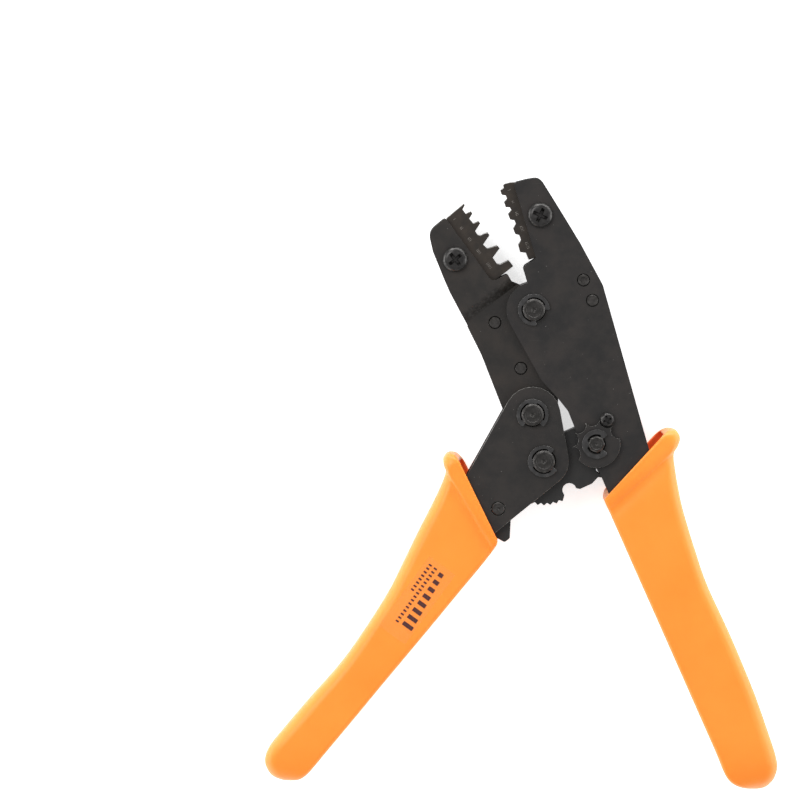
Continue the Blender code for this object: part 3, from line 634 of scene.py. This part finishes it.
def coil(name, start, end, coil_r, wire_r, turns, hooks, leads, material):
    """Tension coil between two pins as a tube, hooked round each, with a straight lead from hook to coil."""
    start = Vector((*start, 0.0))
    end = Vector((*end, 0.0))
    along = (end - start).normalized()
    side = Vector((-along.y, along.x, 0.0))
    up = Vector((0.0, 0.0, 1.0))
    first, last = hooks[0] + leads[0], (end - start).length - hooks[1] - leads[1]
    steps = 20
    points = []
    for i in range(13):
        angle = math.radians(200.0 - 200.0 * i / 12)
        points.append(start + (along * math.cos(angle) + side * math.sin(angle)) * hooks[0])
    for i in range(turns * steps + 1):
        angle = 2 * math.pi * i / steps
        reach = first + (last - first) * i / (turns * steps)
        points.append(start + along * reach + (side * math.cos(angle) + up * math.sin(angle)) * coil_r)
    for i in range(13):
        angle = math.radians(180.0 - 200.0 * i / 12)
        points.append(end + (along * math.cos(angle) + side * math.sin(angle)) * hooks[1])
    curve = bpy.data.curves.new(name, "CURVE")
    curve.dimensions = "3D"
    curve.bevel_depth = wire_r * MM
    curve.bevel_resolution = 3
    curve.use_fill_caps = True
    spline = curve.splines.new("POLY")
    spline.points.add(len(points) - 1)
    for target, place in zip(spline.points, points):
        target.co = (*at(place.x, place.y, place.z), 1.0)
    guide = bpy.data.objects.new(name + "_guide", curve)
    bpy.context.scene.collection.objects.link(guide)
    bpy.context.view_layer.update()
    mesh = bpy.data.meshes.new_from_object(guide.evaluated_get(bpy.context.evaluated_depsgraph_get()))
    bpy.data.objects.remove(guide)
    mesh.materials.clear()
    mesh.materials.append(material)
    mesh.shade_smooth()
    spring = bpy.data.objects.new(name, mesh)
    bpy.context.scene.collection.objects.link(spring)
    return spring


def pin_centre(node):
    low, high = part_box(node)
    return ((low.x + high.x) / 2 - pivot.x) / MM, ((low.y + high.y) / 2 - pivot.y) / MM


spring_wire = drawn_wire()
link_ear, anchor = pin_centre("link_spring_pin"), pin_centre("spring_anchor_pin")
return_spring = coil(
    "coiled_return_spring", link_ear, anchor, 2.1, 0.4, 11, (1.9, 1.9), (7.6, 1.2), spring_wire)
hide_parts("return_spring")
lead_end = tuple(ear + RETURN_BEND * (far - ear) for ear, far in zip(link_ear, anchor))
at(*link_ear)
at(*lead_end)
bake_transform(return_spring)
pawl_ear, anchor = pin_centre("pawl_spring_pin"), pin_centre("pawl_spring_anchor")
pawl_spring = coil(
    "coiled_pawl_spring", pawl_ear, anchor, 1.3, 0.25, 5, (1.25, 1.75), (1.2, 1.2), spring_wire)
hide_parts("pawl_spring")
at(*pawl_ear)
at(*anchor)
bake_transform(pawl_spring)


# Orange sleeves
#
# Each handle carries a moulded PVC sleeve pushed over the tang. The outer side is well rounded for the
# fingers, the inner side is nearly square. A thick bead runs round the mouth and ends in a knob that
# stops the hand; inside, the sleeve is hollow and shows a deeper orange with a painted glow that stands
# in for daylight coming through the wall.

BEAD_Z = 8.85
FACE_Z = 8.05
ROOM_Z = 7.3
LIP = 1.3
WALL = 1.45
OUTER_ROUND = 3.6
INNER_ROUND = 1.3
CORNER_STEPS = 8


def painted_glow_inside():
    """Inside of the sleeve: a deep red-orange with a painted glow in the same colour, standing in for daylight
    that comes through the wall.
    """
    wall = Finish("orange_pvc_inside_painted_glow", Roughness=0.6, Emission_Strength=0.20)
    cloud = wall.noise(wall.place(), 300.0, 3.0)
    # painted glow: this deep red-orange is also given as emission, so the inside shines as if lit through the wall
    glow = wall.mix((0.80, 0.085, 0.012), (0.95, 0.150, 0.030), cloud)
    return wall.surface(Base_Color=glow, Emission_Color=glow)


def orange_pvc():
    """Satin PVC: faint flow marks, a fine matt grain, a painted highlight that makes the rounded rims paler, and a
    few specks.
    """
    pvc = Finish("orange_pvc", Subsurface_Weight=0.18, Subsurface_Radius=(1.0, 0.35, 0.1),
                 Subsurface_Scale=0.002, Coat_Roughness=0.3, IOR=1.45)
    place = pvc.place()
    flow = pvc.noise(place, 45.0, 3.0, 0.5).between(0.25, 0.75)
    grain = pvc.noise(place, 4200.0, 3.0, 0.6)
    ripple = pvc.noise(place, 260.0, 2.0, 0.5)
    specks = pvc.noise(place, 1500.0, 1.0, 0.4).between(0.80, 0.83)
    colour = pvc.mix((0.93, 0.245, 0.014), (0.97, 0.275, 0.020), flow)
    # painted highlight: faces that lean over the rounded rims are mixed towards a paler orange
    colour = pvc.mix(colour, (1.0, 0.36, 0.08), pvc.edge() * 0.3)
    colour = pvc.mix(colour, (0.70, 0.20, 0.03), specks * 0.5)
    return pvc.surface(
        Base_Color=colour, Roughness=flow * 0.06 + grain * 0.12 + 0.36,
        Coat_Weight=flow * 0.08 + 0.10,
        Normal=pvc.bump(grain, 0.00003, 0.35, pvc.bump(ripple, 0.0002, 0.15)))


def smooth_between(rows, t):
    """Catmull-Rom value of the row list at a real-valued row number."""
    i = min(int(t), len(rows) - 2)
    f = t - i
    p0, p1 = rows[max(i - 1, 0)], rows[i]
    p2, p3 = rows[i + 1], rows[min(i + 2, len(rows) - 1)]
    return [0.5 * (2 * b + (c - a) * f + (2 * a - 5 * b + 4 * c - d) * f * f
                   + (3 * b - a - 3 * c + d) * f ** 3)
            for a, b, c, d in zip(p0, p1, p2, p3)]


def sleeve_section(row, inset, lip):
    """Closed loop across the sleeve: well rounded on the outer side, nearly square on the inner one.

    The mouth is cut at a slant, so the back half reaches further over the tang by the lip.
    """
    outer = Vector((row[0], row[1], 0.0))
    inner = Vector((row[2], row[3], 0.0))
    width = (inner - outer).length
    across = (inner - outer).normalized()
    out_of_mouth = Vector((-across.y, across.x, 0.0)) * math.copysign(1.0, across.x)
    half_z = max(row[4] - inset, min(row[4], ROOM_Z) if inset > 0.5 else 0.02)
    half_w = max(width / 2 - inset, 0.02)
    middle = (outer + inner) / 2
    loop = []
    for side, level, radius in ((-1, 1, OUTER_ROUND), (1, 1, INNER_ROUND), (1, -1, INNER_ROUND),
                                (-1, -1, OUTER_ROUND)):
        r = min(max(radius - inset, 0.25), half_w * 0.9, half_z * 0.9)
        for i in range(CORNER_STEPS + 1):
            share = i / CORNER_STEPS if side * level < 0 else 1 - i / CORNER_STEPS
            angle = math.pi / 2 * share
            a = half_w - r + r * math.cos(angle)
            z = half_z - r + r * math.sin(angle)
            reach = out_of_mouth * lip * max(0.0, -level * z / BEAD_Z)
            loop.append(middle + across * side * a + reach + Vector((0.0, 0.0, level * z)))
    return loop


def sleeve(node, rows):
    """Hollow sleeve lofted from rows of outer point, inner point and half thickness, mouth first."""
    last = len(rows) - 1
    stations = [(7.6, WALL + 0.1), (5.0, WALL + 0.1), (2.4, WALL), (0.9, WALL), (0.35, WALL - 0.15),
                (0.08, 0.85), (0.0, 0.45), (0.12, 0.12), (0.4, 0.0)]
    t = 0.8
    while t < last - 0.02:
        stations.append((t, 0.0))
        t += 0.2 if t < 6 or t > last - 5 else 0.34
    stations.append((last - 0.02, 0.0))
    build = bmesh.new()
    rings = []
    inside = sum(1 for t, inset in stations if inset > 0.5)
    for t, inset in stations:
        lip = LIP * max(0.0, 1 - t / 3) ** 2
        loop = sleeve_section(smooth_between(rows, t), inset, lip)
        rings.append([build.verts.new(at(*point)) for point in loop])
    faces = join_rings(build, rings)
    # the hollow's inner faces and the inner end at the mouth get the painted-glow inside finish
    for face in faces[:(inside - 1) * len(rings[0])] + faces[-2:-1]:
        face.material_index = 1
    piece = add_piece("moulded_" + node, build, orange, 60.0)
    piece.data.materials.append(orange_inside_painted_glow)
    return piece


orange = orange_pvc()
orange_inside_painted_glow = painted_glow_inside()
handle_rows = [
    (-21.9, -43.2, -11.3, -65.6, 8.45), (-23.0, -41.9, -10.7, -66.4, BEAD_Z),
    (-24.9, -41.8, -10.5, -67.3, BEAD_Z),
    (-26.2, -43.5, -10.7, -68.2, BEAD_Z), (-26.0, -45.6, -11.3, -69.2, BEAD_Z - 0.35),
    (-25.5, -47.6, -12.2, -70.5, FACE_Z - 0.35), (-27.2, -52.2, -14.0, -72.8, FACE_Z),
    (-30.1, -58.2, -17.0, -76.5, FACE_Z + 0.1), (-33.5, -64.8, -21.6, -82.0, FACE_Z + 0.1),
    (-38.2, -74.5, -28.0, -89.8, FACE_Z + 0.1), (-42.7, -83.3, -34.8, -98.0, FACE_Z + 0.1),
    (-51.0, -96.2, -44.0, -109.0, FACE_Z + 0.1), (-57.1, -104.4, -50.5, -116.9, FACE_Z + 0.1),
    (-65.3, -113.6, -56.5, -124.1, FACE_Z + 0.1), (-72.6, -122.2, -60.5, -128.9, FACE_Z),
    (-76.9, -127.6, -63.2, -132.2, FACE_Z - 0.4), (-78.1, -131.6, -65.6, -135.0, FACE_Z - 1.2),
    (-76.4, -135.4, -67.8, -136.7, FACE_Z - 3.0), (-73.6, -136.9, -69.8, -137.2, FACE_Z - 5.4),
    (-71.8, -137.25, -71.5, -137.25, 0.2)]
frame_rows = [
    (38.2, -35.6, 21.4, -53.9, 8.45), (39.5, -34.9, 20.8, -54.6, BEAD_Z), (41.5, -35.3, 20.5, -55.4, BEAD_Z),
    (42.5, -37.3, 20.8, -56.2, BEAD_Z), (41.9, -39.6, 21.3, -57.4, BEAD_Z - 0.35),
    (40.7, -42.0, 22.2, -59.2, FACE_Z - 0.35), (41.0, -46.0, 23.6, -62.4, FACE_Z),
    (42.0, -52.0, 25.6, -66.9, FACE_Z + 0.1), (43.5, -58.7, 28.2, -72.8, FACE_Z + 0.1),
    (47.0, -70.2, 33.0, -83.6, FACE_Z + 0.1), (50.5, -80.3, 37.4, -93.5, FACE_Z + 0.1),
    (56.8, -93.9, 43.2, -106.6, FACE_Z + 0.1), (63.9, -110.8, 48.8, -119.3, FACE_Z + 0.1),
    (68.1, -122.7, 53.4, -129.7, FACE_Z), (70.4, -129.7, 55.6, -135.1, FACE_Z - 0.4),
    (70.9, -133.6, 57.5, -137.6, FACE_Z - 1.2), (69.8, -137.0, 60.0, -139.0, FACE_Z - 2.6),
    (67.7, -139.1, 62.4, -139.6, FACE_Z - 5.0), (65.4, -139.75, 64.8, -139.8, 0.2)]
handle_sleeve = sleeve("handle_grip", handle_rows)
frame_sleeve = sleeve("frame_grip", frame_rows)

slot_outline = [(-13.6, -60.0), (-15.0, -68.0), (-12.8, -71.0), (-4.0, -72.0), (-4.0, -58.0)]
pawl_slot = flat_piece("pawl_slot_cutter", slot_outline, -4.6, 4.6, orange)
pawl_slot.location = at(0.0, 0.0)
opening = handle_sleeve.modifiers.new("pawl_slot", "BOOLEAN")
opening.operation = "DIFFERENCE"
opening.solver = "EXACT"
opening.use_self = True
opening.object = pawl_slot
bpy.context.view_layer.update()
apply_modifiers(handle_sleeve)
bpy.data.objects.remove(pawl_slot)
own(handle_sleeve, "handle_grip")
own(frame_sleeve, "frame_grip")


# Size label
#
# A clear film stuck on the moving handle. It carries only a row of bars that grow with the ferrule size
# and two rows of small ticks beside them, printed in dark red-brown.

LABEL_Z = FACE_Z + 0.12
LABEL_LENGTH = 25.0
LABEL_WIDTH = 9.4
INK_LOW = LABEL_Z + 0.06
INK_HIGH = LABEL_Z + 0.09


def clear_film():
    film = Finish("clear_label_film", IOR=1.45, Alpha=0.07)
    wrinkles = film.noise(film.place(), 350.0, 3.0)
    return film.surface(Base_Color=(1.0, 0.45, 0.16, 1.0), Roughness=wrinkles * 0.15 + 0.12,
                        Normal=film.bump(wrinkles, 0.0001, 0.2))


def label_print():
    ink = Finish("label_ink")
    cover = ink.noise(ink.place(), 2500.0, 3.0).between(0.2, 0.6)
    return ink.surface(Base_Color=ink.mix((0.10, 0.018, 0.012), (0.045, 0.008, 0.008), cover),
                       Roughness=cover * 0.1 + 0.4)


label_start = Vector((-26.5, -74.2, 0.0))
label_end = Vector((-41.2, -94.4, 0.0))
label_along = (label_end - label_start).normalized()
label_side = Vector((-label_along.y, label_along.x, 0.0))


def label_block(build, along, side, length, width, low, high):
    """Flat block on the label, from its middle along and beside the label's centre line."""
    corners = []
    for z in (low, high):
        for a, b in ((-1, -1), (1, -1), (1, 1), (-1, 1)):
            spot = label_start + label_along * (along + a * length / 2) + label_side * (side + b * width / 2)
            corners.append(build.verts.new(at(spot.x, spot.y, z)))
    close_block(build, corners)


film_build = bmesh.new()
label_block(film_build, LABEL_LENGTH / 2, 0.0, LABEL_LENGTH, LABEL_WIDTH, LABEL_Z, LABEL_Z + 0.05)
film = add_piece("label_film", film_build, clear_film())
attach(film, "moving_handle")
print_build = bmesh.new()
for number in range(8):
    height = 1.5 + 0.28 * number
    label_block(print_build, 2.6 + 2.5 * number, 0.5 + height / 2, 1.25, height, INK_LOW, INK_HIGH)
for count, side in ((16, -1.1), (8, -2.9)):
    for number in range(count):
        label_block(print_build, 2.0 + 1.25 * number, side, 0.5, 1.0, INK_LOW, INK_HIGH)
printed = add_piece("label_size_bars", print_build, label_print())
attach(printed, "moving_handle")


# Floor, light and camera
#
# A white table, lit faintly from below so that shadows stay soft, under large soft boxes. The camera
# looks almost straight down, tipped a few degrees so that the edges that face the jaws' end show.

FLOOR_Z = -0.0005


def studio_floor():
    paper = Finish("white_table", Roughness=0.9, Emission_Strength=0.62)
    fibre = paper.noise(paper.place(), 500.0, 3.0)
    return paper.surface(Base_Color=paper.mix((0.90, 0.90, 0.90), (0.93, 0.93, 0.93), fibre),
                         Emission_Color=(1.0, 1.0, 1.0, 1.0))


floor_build = bmesh.new()
for x, y in ((-3.0, -3.0), (3.0, -3.0), (3.0, 3.0), (-3.0, 3.0)):
    floor_build.verts.new((x, y, FLOOR_Z))
floor_build.faces.new(floor_build.verts)
floor = add_piece("studio_floor", floor_build, studio_floor())

world = bpy.data.worlds.new("studio")
world.use_nodes = True
world.node_tree.nodes["Background"].inputs["Color"].default_value = (1.0, 1.0, 1.0, 1.0)
world.node_tree.nodes["Background"].inputs["Strength"].default_value = 0.70
bpy.context.scene.world = world


def soft_box(name, place, aim, size, watts):
    light = bpy.data.lights.new(name, "AREA")
    light.shape = "RECTANGLE"
    light.size, light.size_y = size
    light.energy = watts
    lamp = bpy.data.objects.new(name, light)
    lamp.location = place
    lamp.rotation_euler = (Vector(aim) - Vector(place)).to_track_quat("-Z", "Y").to_euler()
    bpy.context.scene.collection.objects.link(lamp)


soft_box("key_box", (-0.50, 0.45, 0.80), (0.0, 0.0, 0.0), (0.6, 0.6), 5.5)
soft_box("fill_box", (0.75, -0.10, 0.65), (0.0, 0.0, 0.0), (0.5, 0.8), 1.5)
soft_box("end_strip", (0.05, 0.80, 0.14), (0.0, 0.05, 0.0), (1.0, 0.25), 5.0)
soft_box("right_strip", (0.80, 0.20, 0.12), (0.0, 0.0, 0.0), (1.0, 0.25), 2.8)
soft_box("left_strip", (-0.85, -0.05, 0.14), (0.0, 0.0, 0.0), (1.0, 0.25), 2.5)

VIEW_CENTRE = at(-38.8, -26.2, 7.0)
VIEW_WIDTH = 0.232
LENS = 400.0
SENSOR = 36.0
TIP = math.radians(2.2)
distance = VIEW_WIDTH * LENS / SENSOR
camera_data = bpy.data.cameras.new("catalogue_camera")
camera_data.lens = LENS
camera_data.sensor_width = SENSOR
camera = bpy.data.objects.new("catalogue_camera", camera_data)
camera.location = VIEW_CENTRE + Vector((0.0, math.sin(TIP), math.cos(TIP))) * distance
camera.rotation_euler = (-TIP, 0.0, 0.0)
bpy.context.scene.collection.objects.link(camera)
bpy.context.scene.camera = camera
bpy.context.scene.view_settings.view_transform = "Standard"
